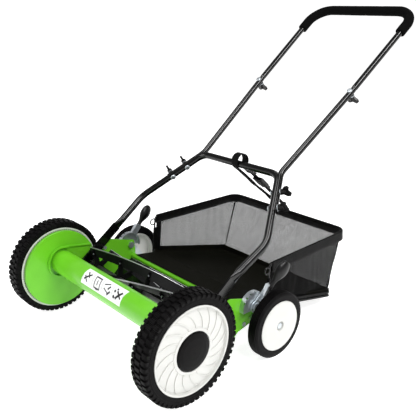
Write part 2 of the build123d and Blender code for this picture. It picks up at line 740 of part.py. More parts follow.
buckle_body = Box(34.0, 40.0, 9.0)
buckle = fillet(buckle_body.edges().filter_by(Axis.Z), 3.0)
buckle += Pos(0, 25.0, 0) * Box(30.0, 14.0, 7.0)
buckle -= Box(25.6, 90.0, 2.2)
save("strap_buckle", along_rear_strand(95.0) * buckle)
slider = Box(33.0, 22.0, 6.0) - Box(25.6, 40.0, 2.2)
slider -= Pos(0, 0, 3.0) * Box(24.0, 5.0, 4.0)
save("strap_slider", along_rear_strand(34.0) * slider)

strap_hook = cylinder_x(strap_x - 18.0, strap_x + 18.0, hook_y, hook_z, 2.4)
for side in (-1, 1):
    cheek = block(side * 15.0, side * 18.0, hook_y - 3.0, hook_y + 3.0, 209.0, 222.0)
    strap_hook += Pos(strap_x, 0, 0) * cheek
strap_hook += block(strap_x - 18.0, strap_x + 18.0, hook_y - 3.0, hook_y + 9.5, 209.0, 211.6)
save("strap_hook", strap_hook)

# Catcher
wall_turn = math.atan2(rim_front[0] - rim_rear[0], rim_rear[1] - rim_front[1])


def wall_x(y):
    # The side walls lean in slightly towards the back.
    return rim_front[0] - (y - rim_front[1]) * math.tan(wall_turn)


def base_height(y):
    share = (y - base_front[0]) / (base_rear[0] - base_front[0])
    return base_front[1] + share * (base_rear[1] - base_front[1])


front_foot = (wall_x(base_front[0]), *base_front)
rear_foot = (wall_x(base_rear[0]), *base_rear)
rim_points = [front_foot, (*rim_front, rim_height), (*rim_rear, rim_height)]
rim_points += [(-x, y, z) for x, y, z in reversed(rim_points)]
foot_points = [(0, *base_front), front_foot, rear_foot]
foot_points += [(-x, y, z) for x, y, z in reversed(foot_points)]
frame = swept(bent_path(rim_points, [14.0, 30.0, 30.0, 14.0]), wire_radius)
frame += swept(bent_path(foot_points, [10.0, 16.0, 16.0, 10.0]), wire_radius)
frame += Pos(*front_foot) * Sphere(wire_radius)
frame += Pos(-front_foot[0], *base_front) * Sphere(wire_radius)
for side in (-1, 1):
    hook_ring = Pos(side * wall_x(302.0), 300.5, 188.0) * Rot(0, 90, 0) * Torus(9.0, 1.8)
    frame += hook_ring
save("catcher_frame", frame)

band_points = [(wall_x(331.0), 331.0, rim_height), (*rim_rear, rim_height)]
band_points += [(-x, y, z) for x, y, z in reversed(band_points)]
band_path = bent_path(band_points, [30.0, 30.0])
band_plane = Plane(origin=band_path @ 0, x_dir=(0, 0, 1), z_dir=band_path % 0)
binding = sweep(band_plane * Pos(-10.5, 0) * Rectangle(28.0, 7.6), path=band_path)
binding -= swept(band_path, wire_radius + cloth_gap)
post_run = (Vector(*rim_front, rim_height) - Vector(*front_foot)).normalized()
post_start = Vector(*front_foot) + post_run * 8.0
post_end = Vector(*front_foot) + post_run * 76.0
post_path = Wire([Line(post_start, post_end).edge()])
post_plane = Plane(origin=post_start, x_dir=(1, 0, 0), z_dir=post_path % 0)
post = sweep(post_plane * Rectangle(7.6, 20.0), path=post_path) - swept(post_path, wire_radius + cloth_gap)
save("catcher_binding", [binding] + both_sides(post))

inset = wire_radius + cloth_gap
wall_plane = Plane(
    origin=(rim_front[0] - inset - cloth_thickness, rim_front[1], 0),
    x_dir=(-math.sin(wall_turn), math.cos(wall_turn), 0),
    z_dir=(math.cos(wall_turn), math.sin(wall_turn), 0),
)
wall_outline = [
    (12.0, base_height(321.0) + 5.5),
    (12.0, rim_height - 25.0),
    (311.0, rim_height - 25.0),
    (311.0, 160.0),
    (273.0, base_height(582.0) + 5.5),
]
wall = extrude(wall_plane * make_face(Polyline(*wall_outline, close=True)), amount=cloth_thickness)


def back_y(z):
    # The back wall slopes in towards the foot of the catcher.
    return base_rear[0] + (z - base_rear[1]) * (rim_rear[1] - base_rear[0]) / (rim_height - base_rear[1])


save_pair("catcher_side", wall & block(150.0, 250.0, 300.0, 640.0, 0.0, 200.0))

back_low = base_rear[1] + 6.0
back_top = rim_height - 25.0
back_outline = [
    (back_y(back_low) - 3.0, back_low),
    (back_y(back_top) - 3.0, back_top),
    (back_y(back_top) - 3.0 - cloth_thickness, back_top),
    (back_y(back_low) - 3.0 - cloth_thickness, back_low),
]
save("catcher_back", slab_x(back_outline, -208.5, 208.5))

base_outline = [
    (229.0, 106.0),
    (296.0, base_height(296.0) + 2.9),
    (580.0, base_height(580.0) + 2.9),
    (580.0, base_height(580.0) + 4.4),
    (296.0, base_height(296.0) + 4.4),
    (229.0, 107.5),
]
plan = [(216.0, 200.0), (216.0, 310.0), (wall_x(590.0) - 6.0, 590.0)]
plan += [(-x, y) for x, y in reversed(plan)]
plan_prism = extrude(make_face(Polyline(*[(x, y, 0) for x, y in plan], close=True)), amount=150.0)
save("catcher_base", slab_x(base_outline, -230.0, 230.0) & plan_prism)

os.makedirs("parts", exist_ok=True)
for name, shape in nodes.items():
    export_step(shape, f"parts/{name}.step")
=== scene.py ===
import json
import math

import bmesh
import bpy
from mathutils import Matrix, Vector, noise


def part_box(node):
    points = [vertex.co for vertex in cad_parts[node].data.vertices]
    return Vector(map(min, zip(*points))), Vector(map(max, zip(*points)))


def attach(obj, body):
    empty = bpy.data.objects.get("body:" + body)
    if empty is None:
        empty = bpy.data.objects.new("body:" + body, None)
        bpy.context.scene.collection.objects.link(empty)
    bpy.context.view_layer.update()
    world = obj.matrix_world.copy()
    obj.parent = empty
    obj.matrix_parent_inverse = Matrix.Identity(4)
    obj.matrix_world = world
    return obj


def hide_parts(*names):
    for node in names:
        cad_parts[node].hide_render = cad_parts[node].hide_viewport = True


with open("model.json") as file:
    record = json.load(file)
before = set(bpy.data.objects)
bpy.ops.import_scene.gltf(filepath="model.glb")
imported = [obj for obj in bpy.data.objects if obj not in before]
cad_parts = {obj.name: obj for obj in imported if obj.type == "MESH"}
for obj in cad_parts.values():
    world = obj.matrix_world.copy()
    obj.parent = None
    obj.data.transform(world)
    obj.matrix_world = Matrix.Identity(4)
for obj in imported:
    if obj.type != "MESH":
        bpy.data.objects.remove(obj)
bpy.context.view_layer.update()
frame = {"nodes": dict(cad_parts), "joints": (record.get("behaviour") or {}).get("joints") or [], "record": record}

nodes = frame["nodes"]
joints = {joint["name"]: joint for joint in frame["joints"]}
axle = Vector(joints["front_wheel_left_spin"]["pos_m"])
reelAxis = Vector(joints["reel_spin"]["pos_m"])
handlePivot = Vector(joints["handle_fold"]["pos_m"])
sides = (("left", 1), ("right", -1))
reelRadius = max((v.co.yz - reelAxis.yz).length for v in nodes["reel_blades"].data.vertices)
tubeLow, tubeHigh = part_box("front_tube")
tubeAxis = (tubeLow + tubeHigh) / 2
tubeRadius = (tubeHigh.z - tubeLow.z) / 2
print("frame loaded:", len(nodes), "nodes")


def place(x, y, z):
    # metres from the ground under the front axle, to the row's frame
    return Vector((x, y + axle.y, z))


handle = {"pitch": math.radians(36)}


def onHandle(x, along, lift=0.0):
    # a point given across the handle, up its slope and square to it
    c, s = math.cos(handle["pitch"]), math.sin(handle["pitch"])
    return Vector((x, handlePivot.y + along * c - lift * s, handlePivot.z + along * s + lift * c))


class Value:
    # wraps an output socket, so that shader maths reads as plain arithmetic
    def __init__(self, shader, socket):
        self.shader = shader
        self.socket = socket

    def math(self, operation, first, second=0.0):
        return self.shader.add("ShaderNodeMath", {"operation": operation}, {0: first, 1: second})

    def __add__(self, other):
        return self.math("ADD", self, other)

    def __radd__(self, other):
        return self.math("ADD", other, self)

    def __sub__(self, other):
        return self.math("SUBTRACT", self, other)

    def __rsub__(self, other):
        return self.math("SUBTRACT", other, self)

    def __mul__(self, other):
        return self.math("MULTIPLY", self, other)

    def __rmul__(self, other):
        return self.math("MULTIPLY", other, self)

    def __truediv__(self, other):
        return self.math("DIVIDE", self, other)

    def __pow__(self, other):
        return self.math("POWER", self, other)

    def __lt__(self, other):
        return self.math("LESS_THAN", self, other)

    def __gt__(self, other):
        return self.math("GREATER_THAN", self, other)

    def __abs__(self):
        return self.math("ABSOLUTE", self)

    def sine(self):
        return self.math("SINE", self)

    def fraction(self):
        return self.math("FRACT", self)

    def root(self):
        return self.math("SQRT", self)

    def smallest(self, other):
        return self.math("MINIMUM", self, other)

    def largest(self, other):
        return self.math("MAXIMUM", self, other)

    def angleTo(self, other):
        return self.math("ARCTAN2", self, other)


class Shader:
    # one material and the nodes behind its Principled shader
    def __init__(self, name):
        self.material = bpy.data.materials.new(name)
        self.material.use_nodes = True
        self.tree = self.material.node_tree
        self.surface = self.tree.nodes["Principled BSDF"]

    def add(self, kind, settings=None, inputs=None, out=0):
        node = self.tree.nodes.new(kind)
        for name, value in (settings or {}).items():
            if name == "stops":
                ramp = node.color_ramp
                while len(ramp.elements) < len(value):
                    ramp.elements.new(0.5)
                for element, (position, colour) in zip(ramp.elements, value):
                    element.position = position
                    element.color = (*colour, 1.0)
            else:
                setattr(node, name, value)
        for key, value in (inputs or {}).items():
            self.feed(node.inputs[key], value)
        return Value(self, node.outputs[out])

    def feed(self, socket, value):
        if isinstance(value, Value):
            self.tree.links.new(value.socket, socket)
        elif socket.type == "RGBA" and len(value) == 3:
            socket.default_value = (*value, 1.0)
        else:
            socket.default_value = value

    def position(self):
        return self.add("ShaderNodeTexCoord", out="Object")

    def axes(self):
        # the three coordinates in metres, in the row's frame at rest
        split = self.tree.nodes.new("ShaderNodeSeparateXYZ")
        self.feed(split.inputs[0], self.position())
        return [Value(self, output) for output in split.outputs]

    def noise(self, scale, detail=3.0, stretch=(1, 1, 1)):
        where = self.add("ShaderNodeMapping", None, {0: self.position(), "Scale": stretch})
        return self.add("ShaderNodeTexNoise", None, {"Vector": where, "Scale": scale, "Detail": detail})

    def cells(self, scale, out="Distance"):
        return self.add("ShaderNodeTexVoronoi", None, {"Vector": self.position(), "Scale": scale}, out)

    def between(self, value, low, high, toLow=0.0, toHigh=1.0):
        # maps a stretch of one value smoothly to another stretch
        ends = {0: value, 1: low, 2: high, 3: toLow, 4: toHigh}
        return self.add("ShaderNodeMapRange", {"interpolation_type": "SMOOTHSTEP"}, ends)

    def mix(self, factor, first, second):
        return self.add("ShaderNodeMix", {"data_type": "RGBA"}, {0: factor, 6: first, 7: second}, 2)

    def bump(self, height, distance, strength=1.0):
        inputs = {"Height": height, "Distance": distance, "Strength": strength}
        return self.add("ShaderNodeBump", None, inputs)

    def finish(self, **sockets):
        # sockets are named in camelCase, such as baseColor or coatWeight
        for name, value in sockets.items():
            words = "".join(" " + c if c.isupper() else c for c in name).title().replace("Ior", "IOR")
            self.feed(self.surface.inputs[words], value)
        return self.material


def glossPaint(name, look):
    # baked enamel: faint mottling, orange peel and a little dust that settles on what faces up
    shader = Shader(name)
    mottle = shader.noise(28.0, 4.0)
    normal = shader.add("ShaderNodeNewGeometry", out="Normal")
    upward = shader.add("ShaderNodeSeparateXYZ", None, {0: normal}, 2)
    dust = shader.between(upward, 0.35, 1.0) * shader.between(shader.noise(9.0, 5.0), 0.42, 0.75)
    colour = shader.mix(mottle, look["deep"], look["bright"])
    colour = shader.mix(dust * look["dust"], colour, (0.55, 0.53, 0.47))
    peel = shader.noise(900.0, 1.0) + shader.noise(160.0, 2.0) * 0.6
    return shader.finish(
        baseColor=colour,
        roughness=look["roughness"] + mottle * 0.06 + dust * 0.25,
        normal=shader.bump(peel, 0.00004, 0.6),
        specularIorLevel=look["shine"],
        coatWeight=look["coat"],
        coatRoughness=0.08,
    )


def reelPaint(name):
    # black enamel that stops at the ground outer edge of each blade
    look = {"edge": 0.0016, "black": (0.002, 0.002, 0.0022), "bare": (0.62, 0.63, 0.64)}
    shader = Shader(name)
    x, y, z = shader.axes()
    out = ((y - reelAxis.y) ** 2.0 + (z - reelAxis.z) ** 2.0).root()
    rim = reelRadius - look["edge"] + (shader.noise(220.0, 3.0) - 0.5) * 0.0012
    ground = shader.between(out, rim, rim + 0.0004)
    grind = shader.noise(60.0, 2.0, (40, 1, 1))
    return shader.finish(
        baseColor=shader.mix(ground, look["black"], look["bare"]),
        metallic=ground,
        roughness=0.42 - ground * 0.1 + grind * 0.12,
        normal=shader.bump(shader.noise(500.0, 2.0), 0.00005, 0.5),
        specularIorLevel=0.15,
    )


def tyreRubber(name):
    # carbon-filled rubber, a little paler where it has been handled
    shader = Shader(name)
    scuff = shader.between(shader.noise(35.0, 6.0), 0.45, 0.75)
    grain = shader.noise(1400.0, 2.0)
    return shader.finish(
        baseColor=shader.mix(scuff, (0.0030, 0.0027, 0.0029), (0.0062, 0.0058, 0.0060)),
        roughness=0.42 + scuff * 0.14 + grain * 0.06,
        normal=shader.bump(grain + shader.noise(260.0, 2.0) * 0.5, 0.00008, 0.7),
        specularIorLevel=0.05,
    )


def mouldedPlastic(name, look):
    # fine spark-eroded grain, flow marks and light scuffs
    shader = Shader(name)
    flow = shader.noise(16.0, 3.0, (1, 1, 3))
    scuff = shader.between(shader.noise(70.0, 6.0, (1, 5, 1)), 0.6, 0.8)
    grain = shader.noise(look["grain"], 2.0)
    return shader.finish(
        baseColor=shader.mix(flow, look["dark"], look["light"]),
        roughness=look["roughness"] + grain * 0.1 + scuff * 0.12,
        normal=shader.bump(grain, 0.00006, look["relief"]),
        specularIorLevel=look["shine"],
        coatWeight=look["coat"],
        coatRoughness=0.2,
    )


def zincPlate(name):
    # bright zinc: faint crystals, a bluish cast and a duller film in patches
    shader = Shader(name)
    crystal = shader.cells(420.0, "Color")
    film = shader.noise(55.0, 5.0)
    tone = shader.mix(film, (0.42, 0.46, 0.49), (0.70, 0.74, 0.77))
    flecks = shader.add("ShaderNodeRGBToBW", None, {0: crystal})
    return shader.finish(
        baseColor=tone,
        metallic=1.0,
        roughness=0.3 + flecks * 0.08 + film * 0.2,
        normal=shader.bump(flecks, 0.00003, 0.5),
    )


def groundSteel(name):
    shader = Shader(name)
    lines = shader.noise(90.0, 3.0, (1, 22, 22))
    return shader.finish(
        baseColor=shader.mix(lines, (0.10, 0.10, 0.10), (0.24, 0.24, 0.24)),
        metallic=1.0,
        roughness=0.28 + lines * 0.2,
        normal=shader.bump(lines, 0.00004, 0.6),
    )


def foamSkin(name):
    # closed-cell foam: small pits under a dull skin
    shader = Shader(name)
    pits = shader.cells(900.0)
    skin = shader.noise(120.0, 5.0)
    return shader.finish(
        baseColor=shader.mix(skin, (0.0015, 0.0015, 0.0015), (0.0045, 0.0045, 0.0045)),
        roughness=0.72 + skin * 0.2,
        normal=shader.bump(pits + skin * 1.5, 0.0002, 0.8),
        specularIorLevel=0.02,
    )


def threads(shader, across, along, pitch):
    # a plain weave: the height of threads that pass over and under each other
    turn = 2 * math.pi / pitch
    warp, weft = (across * turn).sine(), (along * turn).sine()
    return warp * 0.5 + weft * 0.5 + warp * weft * 0.35


def openMesh(name, plane, hole):
    # open knitted netting: round holes on a diagonal grid, so that what lies behind shows through
    look = {"pitch": 0.0021, "dark": (0.002, 0.002, 0.002), "light": (0.006, 0.006, 0.006)}
    shader = Shader(name)
    coordinates = dict(zip("xyz", shader.axes()))
    across, along = coordinates[plane[0]], coordinates[plane[1]]
    u = ((across + along) / look["pitch"]).fraction() - 0.5
    v = ((across - along) / look["pitch"]).fraction() - 0.5
    reach = (u * u + v * v).root()
    cloth = reach > hole
    tension = shader.noise(7.0, 3.0)
    return shader.finish(
        baseColor=shader.mix(tension, look["dark"], look["light"]),
        roughness=0.75,
        alpha=cloth,
        normal=shader.bump(reach, 0.0003, 0.6),
        specularIorLevel=0.05,
    )


def wovenCloth(name, plane, look):
    # tightly woven polyester with a few creases
    shader = Shader(name)
    coordinates = dict(zip("xyz", shader.axes()))
    weave = threads(shader, coordinates[plane[0]], coordinates[plane[1]], look["pitch"])
    worn = shader.noise(22.0, 5.0)
    return shader.finish(
        baseColor=shader.mix(worn, look["dark"], look["light"]),
        roughness=look["roughness"] + weave * 0.05,
        normal=shader.bump(weave + worn * 2.0, 0.00025, 0.8),
        specularIorLevel=look["shine"],
    )


def printedLabel(name):
    # a white film with four slanted panels of plain geometric marks, with no lettering
    look = {"from": -0.088, "length": 0.166, "middle": 0.025, "slant": 0.35, "panels": 4, "size": 1.3,
            "film": (0.86, 0.87, 0.87), "ink": (0.012, 0.011, 0.013)}
    panel = look["length"] / look["panels"]
    shader = Shader(name)
    x, y, z = shader.axes()
    across = (z - tubeAxis.z).angleTo((y - tubeAxis.y) * -1.0) * tubeRadius - look["middle"]
    count = (x + across * look["slant"] - look["from"]) / panel
    u = (count.fraction() - 0.5) * panel / look["size"]
    v = across / look["size"]
    number = count - count.fraction()

    def bar(across, up, turn, length, width):
        # one straight stroke with a middle, a direction, a length and a width
        c, s = math.cos(turn), math.sin(turn)
        along = (u - across) * c + (v - up) * s
        beside = (v - up) * c - (u - across) * s
        return (abs(along) < length / 2) * (abs(beside) < width / 2)

    def dot(across, up, radius):
        return ((u - across) ** 2.0 + (v - up) ** 2.0).root() < radius

    frameBox = abs(abs(u).largest(abs(v) * 0.85) - 0.0085) < 0.0011
    panels = (
        (bar(-0.001, 0.001, 0.6, 0.024, 0.0032), bar(0.001, 0.005, -0.9, 0.013, 0.0028),
         bar(-0.005, -0.004, -0.9, 0.013, 0.003)),
        (frameBox, bar(0.0, 0.0, 1.57, 0.009, 0.0022), bar(0.0, -0.0115, 0.0, 0.009, 0.0024)),
        (bar(-0.003, 0.0075, 0.35, 0.016, 0.0022), bar(0.005, 0.003, 0.9, 0.009, 0.0034),
         bar(-0.002, -0.0045, -0.35, 0.016, 0.0022), bar(0.006, -0.006, 0.7, 0.012, 0.0034)),
        (bar(0.004, 0.0, 0.75, 0.023, 0.0042), bar(0.004, 0.001, -0.7, 0.017, 0.0036),
         dot(-0.009, 0.004, 0.0026), dot(-0.009, -0.006, 0.0030), dot(-0.004, 0.0095, 0.0022)),
    )
    ink = 0.0
    for position, marks in enumerate(panels):
        here = abs(number - float(position)) < 0.5
        for mark in marks:
            ink = mark * here + ink
    rule = (abs(abs(u) * look["size"] - panel / 2) < 0.0008) * (abs(across) < 0.019) * 0.4
    return shader.finish(
        baseColor=shader.mix((ink + rule).smallest(1.0), look["film"], look["ink"]),
        roughness=0.28 + shader.noise(200.0) * 0.12,
        coatWeight=0.3,
    )


black = {"dark": (0.0010, 0.0010, 0.0010), "light": (0.0026, 0.0026, 0.0027), "shine": 0.08}
green = {"deep": (0.115, 0.46, 0.010), "bright": (0.155, 0.54, 0.020), "roughness": 0.3, "coat": 0.3,
         "dust": 0.03, "shine": 0.35}
enamel = {"deep": (0.0010, 0.0010, 0.0010), "bright": (0.0022, 0.0022, 0.0023), "roughness": 0.12,
          "coat": 0.0, "dust": 0.004, "shine": 0.42}
ivory = {"dark": (0.57, 0.57, 0.545), "light": (0.63, 0.63, 0.605), "roughness": 0.34, "grain": 700.0,
         "relief": 0.35, "coat": 0.15, "shine": 0.5}
knobBlack = {**black, "roughness": 0.3, "grain": 1100.0, "relief": 0.6, "coat": 0.0, "shine": 0.3}
capBlack = {"dark": (0.0035, 0.0032, 0.0033), "light": (0.0055, 0.0051, 0.0053), "roughness": 0.38,
            "grain": 900.0, "relief": 0.5, "coat": 0.0, "shine": 0.05}
floorCloth = {"dark": (0.0030, 0.0030, 0.0018), "light": (0.0055, 0.0055, 0.0034),
              "pitch": 0.0012, "roughness": 0.7, "shine": 0.05}
sewingThread = {"dark": (0.03, 0.03, 0.03), "light": (0.06, 0.06, 0.06),
                "pitch": 0.0006, "roughness": 0.6, "shine": 0.2}

finishes = {
    "green_paint": glossPaint("greenPaint", green),
    "black_paint": glossPaint("blackEnamel", enamel),
    "reel_paint": reelPaint("reelEnamel"),
    "tyre": tyreRubber("tyreRubber"),
    "white_plastic": mouldedPlastic("ivoryPlastic", ivory),
    "black_plastic": mouldedPlastic("blackPlastic", knobBlack),
    "cap_plastic": mouldedPlastic("capPlastic", capBlack),
    "zinc": zincPlate("zincPlate"),
    "steel": groundSteel("groundSteel"),
    "foam": foamSkin("foamSkin"),
    "label": printedLabel("printedLabel"),
    "side_mesh": openMesh("sideNetting", "yz", 0.224),
    "back_mesh": openMesh("backNetting", "xz", 0.236),
    "tape": wovenCloth("bindingTape", "yz", {**black, "pitch": 0.0011, "roughness": 0.45}),
    "base_cloth": wovenCloth("baseCloth", "xy", floorCloth),
    "thread": wovenCloth("thread", "yz", sewingThread),
    "webbing": wovenCloth("webbing", "xz", {**black, "pitch": 0.0022, "roughness": 0.6}),
}
slotOf = {part["node"]: part["material_slot"] for part in frame["record"]["subparts"]}
for name, node in nodes.items():
    look = finishes.get(slotOf[name], finishes["base_cloth"])
    if name.startswith("front_cap"):
        look = finishes["cap_plastic"]
    node.data.materials.clear()
    node.data.materials.append(look)
print("finishes on the carried-over parts")


def makePiece(name, points, faces, body, finish, smooth=True):
    # a mesh piece with outward faces, riding on a body
    mesh = bpy.data.meshes.new(name)
    mesh.from_pydata([tuple(p) for p in points], [], faces)
    mesh.validate()
    shape = bmesh.new()
    shape.from_mesh(mesh)
    bmesh.ops.recalc_face_normals(shape, faces=shape.faces)
    shape.to_mesh(mesh)
    shape.free()
    mesh.polygons.foreach_set("use_smooth", [smooth] * len(mesh.polygons))
    mesh.materials.append(finishes[finish])
    piece = bpy.data.objects.new(name, mesh)
    bpy.context.scene.collection.objects.link(piece)
    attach(piece, body)
    return piece


def gridFaces(rows, columns, wrapRows=False, wrapColumns=False, start=0):
    faces = []
    for r in range(rows if wrapRows else rows - 1):
        for c in range(columns if wrapColumns else columns - 1):
            right, below = (c + 1) % columns, (r + 1) % rows
            corners = (r * columns + c, r * columns + right, below * columns + right, below * columns + c)
            faces.append([start + k for k in corners])
    return faces


def turnedTo(first, last, share):
    # part of the way round from one radius to another of the same length
    angle = first.angle(last)
    return (first * math.sin((1 - share) * angle) + last * math.sin(share * angle)) / math.sin(angle)


def roundedLine(points, radii, step):
    # a line of points with an arc at each inner corner
    points = [Vector(p) for p in points]
    line = [points[0]]
    for i in range(1, len(points) - 1):
        back = (points[i - 1] - points[i]).normalized()
        ahead = (points[i + 1] - points[i]).normalized()
        half = back.angle(ahead) / 2
        reach = radii[i - 1] / math.tan(half)
        centre = points[i] + (back + ahead).normalized() * radii[i - 1] / math.sin(half)
        first, last = points[i] + back * reach - centre, points[i] + ahead * reach - centre
        count = max(3, round(radii[i - 1] * (math.pi - 2 * half) / step))
        line += [centre + turnedTo(first, last, k / count) for k in range(count + 1)]
    line.append(points[-1])
    return evenly(line, step)


def evenly(line, step):
    # the same line with no run longer than a step
    spaced = [line[0]]
    for a, b in zip(line, line[1:]):
        count = max(1, math.ceil((b - a).length / step - 0.01))
        spaced += [a.lerp(b, k / count) for k in range(1, count + 1)]
    return spaced


def directions(line):
    ends = [line[0]] + line + [line[-1]]
    return [(ends[i + 2] - ends[i]).normalized() for i in range(len(line))]


# Front tyres: a carcass with a tread of staggered blocks that run over the shoulders.
tread = {"lugs": 54, "depth": 0.0033, "top": 0.1269, "middle": 0.023, "lean": 0.5, "crisp": 28}
treadProfile = (
    (0.0000, 0.1108), (0.0000, 0.1160), (0.0004, 0.1196), (0.0018, 0.1222), (0.0036, 0.1234),
    (0.0050, 0.1236), (0.0120, 0.1236), (0.0132, 0.1236), (0.0146, 0.1236), (0.0158, 0.1236),
    (0.0300, 0.1236), (0.0312, 0.1236), (0.0326, 0.1236), (0.0338, 0.1236),
    (0.0412, 0.1236), (0.0426, 0.1233), (0.0440, 0.1217), (0.0449, 0.1190), (0.0454, 0.1160),
    (0.0457, 0.1130), (0.0461, 0.1128), (0.0461, 0.1118), (0.0456, 0.1112), (0.0455, 0.1060),
    (0.0452, 0.1034), (0.0458, 0.1028), (0.0455, 0.1012), (0.0444, 0.1008), (0.0380, 0.1009),
)
bandOfRow = (0, 0, 0.35, 0.9, 1, 1, 1, 0, 0, 2, 2, 0, 0, 3, 3, 3, 3, 2.6, 0, 0) + (0,) * 9


def lugHeight(row, share):
    # how far a tread block stands up at this row of the section, and this share of a pitch
    band = bandOfRow[row]
    if band == 0:
        return 0.0
    shifted = (share + (0.5 if band == 2 else 0.0)) % 1.0
    flank, width = 0.05, 0.64
    rise = min(1.0, max(0.0, shifted / flank)) * min(1.0, max(0.0, (width - shifted) / flank))
    fade = band if band < 1 else 0.6 if band == 2.6 else 1.0
    return tread["depth"] * rise * fade


def frontTyre(side, sign):
    name = "front_tyre_" + side
    low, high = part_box(name)
    inner = min(abs(low.x), abs(high.x))
    centre = (low + high) / 2
    shares = (0.0, 0.05, 0.09, 0.14, 0.3, 0.5, 0.55, 0.59, 0.64, 0.8)
    section = [Vector(p) for p in treadProfile]
    normals = [Vector((-d.y, d.x)) for d in directions(section)]
    points = []
    for number in range(tread["lugs"]):
        for share in shares:
            turn = 2 * math.pi * (number + share) / tread["lugs"]
            for row, (spot, normal) in enumerate(zip(section, normals)):
                x, radius = spot + normal * lugHeight(row, share)
                lean = turn + (x - tread["middle"]) * tread["lean"]
                radius = min(radius, tread["top"])
                across, up = radius * math.cos(lean), radius * math.sin(lean)
                points.append((sign * (inner + x), centre.y + across, centre.z + up))
    rows = tread["lugs"] * len(shares)
    faces = gridFaces(rows, len(section), wrapRows=True, wrapColumns=True)
    piece = makePiece("tyre_" + side, points, faces, "wheel_" + side, "tyre")
    smoothByAngle(piece, tread["crisp"])
    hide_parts(name)


def smoothByAngle(piece, degrees):
    # edges sharper than this stay crisp
    shape = bmesh.new()
    shape.from_mesh(piece.data)
    for edge in shape.edges:
        if len(edge.link_faces) == 2:
            edge.smooth = edge.calc_face_angle(0.0) < math.radians(degrees)
    shape.to_mesh(piece.data)
    shape.free()


for side, sign in sides:
    frontTyre(side, sign)
print("front tyres")

# Foam sleeve: a soft tube with rolled ends that puckers a little inside its bends.
foam = {"radius": 0.0143, "bore": 0.0088, "corner": (0.177, 1.119), "foot": (0.1739, 1.021), "bend": 0.06,
        "roll": 0.003, "step": 0.0035}


def foamSleeve():
    (cornerX, cornerS), (footX, footS) = foam["corner"], foam["foot"]
    flat = [(footX, footS, 0), (cornerX, cornerS, 0), (-cornerX, cornerS, 0), (-footX, footS, 0)]
    line = roundedLine(flat, [foam["bend"]] * 2, foam["step"])
    heading = directions(line)
    total = len(line) - 1
    around = 28
    outer = []
    for i, (spot, ahead) in enumerate(zip(line, heading)):
        out = Vector((ahead.y, -ahead.x, 0))
        lap = min(i, total - i) * foam["step"]
        lip = 1.0 if lap >= foam["roll"] else math.sqrt(max(0.0, 1 - (1 - lap / foam["roll"]) ** 2))
        turning = heading[max(0, i - 3)].angle(heading[min(total, i + 3)])
        turning /= 7 * foam["step"] / foam["bend"]
        for k in range(around):
            turn = 2 * math.pi * k / around
            inward = max(0.0, -math.cos(turn)) * min(1.0, turning)
            ripple = 0.0005 * inward * math.sin(i * 1.9)
            ripple += 0.00035 * noise.noise(spot * 60 + Vector((turn, 0, 0)))
            radius = foam["bore"] + (foam["radius"] - foam["bore"]) * (0.45 + 0.55 * lip) + ripple
            side = spot + out * radius * math.cos(turn) + Vector((0, 0, radius * math.sin(turn)))
            outer.append(onHandle(*side))
    for i in range(total, -1, -1):
        out = Vector((heading[i].y, -heading[i].x, 0))
        for k in range(around):
            turn = 2 * math.pi * k / around
            side = line[i] + out * foam["bore"] * math.cos(turn)
            side += Vector((0, 0, foam["bore"] * math.sin(turn)))
            outer.append(onHandle(*side))
    faces = gridFaces(2 * (total + 1), around, wrapRows=True, wrapColumns=True)
    piece = makePiece("foam_sleeve", outer, faces, "handle", "foam")
    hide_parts("handle_grip")


foamSleeve()
print("foam sleeve")

# Catcher: netting walls hung from a taped rim, and a solid sloping floor.
catcher = {
    "rimHeight": 0.205,
    "rimFront": (0.227, 0.309),
    "rimRear": (0.217, 0.637),
    "baseFront": (0.300, 0.092),
    "baseRear": (0.585, 0.020),
    "inset": 0.0034,
    "wallStart": 0.3035,
    "wallStartHigh": 0.3105,
    "wallTop": 0.186,
    "wallLow": 0.0035,
    "flapStart": 0.229,
    "flapHeight": 0.1068,
}
lean = (catcher["rimFront"][0] - catcher["rimRear"][0]) / (catcher["rimRear"][1] - catcher["rimFront"][1])


def wallX(y):
    return catcher["rimFront"][0] - (y - catcher["rimFront"][1]) * lean


def baseHeight(y):
    (y0, z0), (y1, z1) = catcher["baseFront"], catcher["baseRear"]
    return z0 + (y - y0) * (z1 - z0) / (y1 - y0)


def mirrored(line):
    return line + [(-x, y, z) for x, y, z in reversed(line)]


def drape(piece, pinned, look):
    # lets the cloth hang between its sewn edges, then keeps it near where it started
    rest = [v.co.copy() for v in piece.data.vertices]
    group = piece.vertex_groups.new(name="sewn")
    group.add(pinned, 1.0, "REPLACE")
    cloth = piece.modifiers.new("hang", "CLOTH")
    cloth.settings.vertex_group_mass = "sewn"
    cloth.settings.quality = 6
    cloth.settings.mass = look["mass"]
    cloth.settings.tension_stiffness = look["stiff"]
    cloth.settings.compression_stiffness = look["stiff"]
    cloth.settings.bending_stiffness = look["bend"]
    cloth.settings.shrink_min = -look["slack"]
    cloth.collision_settings.use_collision = False
    scene = bpy.context.scene
    for number in range(1, look["frames"] + 1):
        scene.frame_set(number)
    evaluated = piece.evaluated_get(bpy.context.evaluated_depsgraph_get())
    hung = [v.co.copy() for v in evaluated.data.vertices]
    piece.modifiers.remove(cloth)
    piece.vertex_groups.remove(group)
    scene.frame_set(1)
    for vertex, start, end in zip(piece.data.vertices, rest, hung):
        move = end - start
        vertex.co = start + move * min(1.0, look["most"] / max(move.length, 1e-9))
    piece.data.update()


